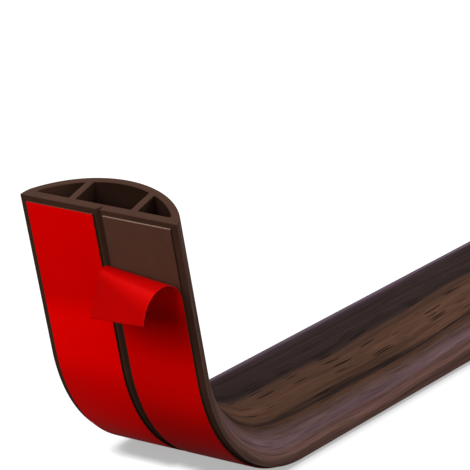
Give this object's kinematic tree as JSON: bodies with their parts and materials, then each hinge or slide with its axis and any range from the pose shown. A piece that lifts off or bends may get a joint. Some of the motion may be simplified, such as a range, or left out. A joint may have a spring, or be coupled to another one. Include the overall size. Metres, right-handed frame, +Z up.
{
  "type": "floor cord cover",
  "caption": "Flexible domed strip that covers and guides cords across a floor, with cable channels inside, adhesive tapes with release liners on its flat base, and an end bent up.",
  "frame": {"origin": "middle of the footprint of the whole strip, on the floor that the liners lie on", "axes": "+X along the run, away from the end that is bent up; +Y to the left, seen from that end; +Z up"},
  "size_m": [0.8504, 0.076, 0.1367],
  "materials": {
    "cover_pvc": "satin walnut print on the dome, plain brown elsewhere",
    "adhesive_tape": "smooth tacky adhesive, brown",
    "release_liner": "glossy film, red"
  },
  "bodies": {
    "root": {"cover_body": "cover_pvc", "adhesive_tape_left": "adhesive_tape", "adhesive_tape_right": "adhesive_tape", "release_liner_left": "release_liner", "release_liner_right": "release_liner"}
  },
  "joints": []
}
